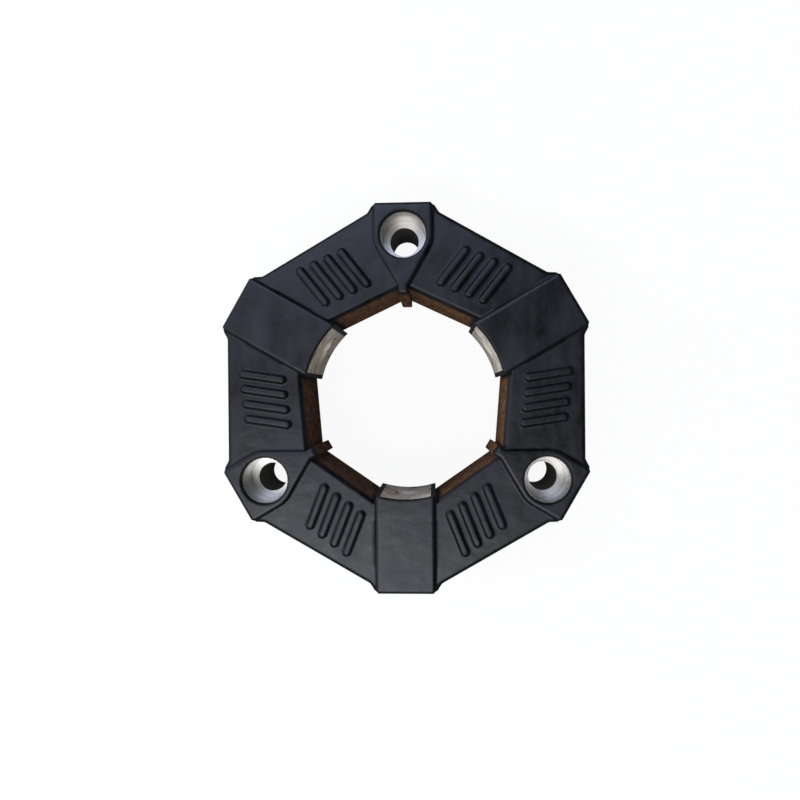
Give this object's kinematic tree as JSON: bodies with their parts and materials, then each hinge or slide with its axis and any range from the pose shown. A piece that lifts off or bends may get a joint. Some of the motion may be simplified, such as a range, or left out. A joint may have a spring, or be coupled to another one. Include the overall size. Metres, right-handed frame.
{
  "type": "flexible shaft coupling element",
  "caption": "Hexagonal moulded rubber coupling ring with bonded aluminium inserts: axial screw bushes at alternate corners, radial blocks with curved hub pads between them.",
  "frame": {"origin": "on the shaft axis, in the plane of the back face", "axes": "+Z along the shaft axis towards the face with the screw recesses, +Y towards the first axial insert, +X to its right seen from the front"},
  "size_m": [0.185, 0.1974, 0.057],
  "materials": {
    "rubber": "satin moulded",
    "bush_metal": "machined",
    "pad_metal": "dull cast"
  },
  "bodies": {
    "root": {"rubber_body": "rubber", "axial_insert_1": "bush_metal", "axial_insert_2": "bush_metal", "axial_insert_3": "bush_metal", "radial_insert_1": "pad_metal", "radial_insert_2": "pad_metal", "radial_insert_3": "pad_metal"}
  },
  "joints": []
}
